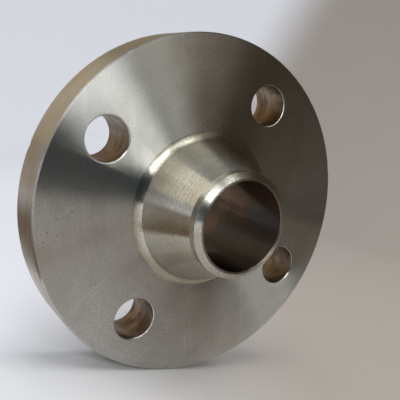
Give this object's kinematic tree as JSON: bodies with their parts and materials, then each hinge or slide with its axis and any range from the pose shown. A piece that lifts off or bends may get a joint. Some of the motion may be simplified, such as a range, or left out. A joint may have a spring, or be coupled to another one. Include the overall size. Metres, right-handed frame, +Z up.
{
  "type": "weld neck flange",
  "caption": "Round steel weld neck flange: a drilled bolting plate with a raised sealing face and a tapered hub that ends in a bevelled neck for butt welding to pipe.",
  "frame": {"origin": "centre of the raised sealing face, on the pipe axis", "axes": "+Y along the pipe axis, out of the sealing face; the neck and its weld end point along -Y; +Z up, with the flange standing on its rim at z = -57.5 mm"},
  "size_m": [0.115, 0.041, 0.115],
  "materials": {
    "turned_stainless": "lathe-turned stainless steel with fine circular tool marks and light handling marks"
  },
  "bodies": {
    "root": {"flange": "turned_stainless"}
  },
  "joints": []
}
